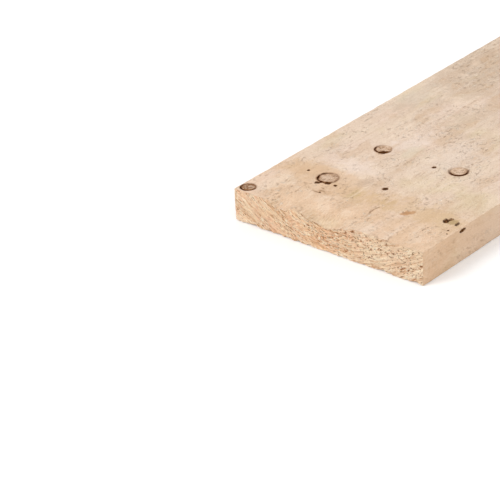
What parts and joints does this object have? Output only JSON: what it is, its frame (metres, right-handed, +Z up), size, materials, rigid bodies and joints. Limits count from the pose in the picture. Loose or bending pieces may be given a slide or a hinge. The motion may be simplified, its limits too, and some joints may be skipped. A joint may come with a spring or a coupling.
{
  "type": "rough-sawn softwood plank",
  "caption": "Long flat rough-sawn softwood plank with square-cut ends, for decking, scaffolds, shelves, cladding and formwork.",
  "frame": {"origin": "middle of the underside, on the surface that the plank lies on", "axes": "+X along the plank to its far end, +Y across it, +Z up through its thickness; the end and edge that the picture shows are at -X and -Y"},
  "size_m": [2, 0.195, 0.03],
  "materials": {
    "sawn_wood": "rough-sawn pale softwood, dry and untreated"
  },
  "bodies": {
    "root": {"plank": "sawn_wood"}
  },
  "joints": []
}
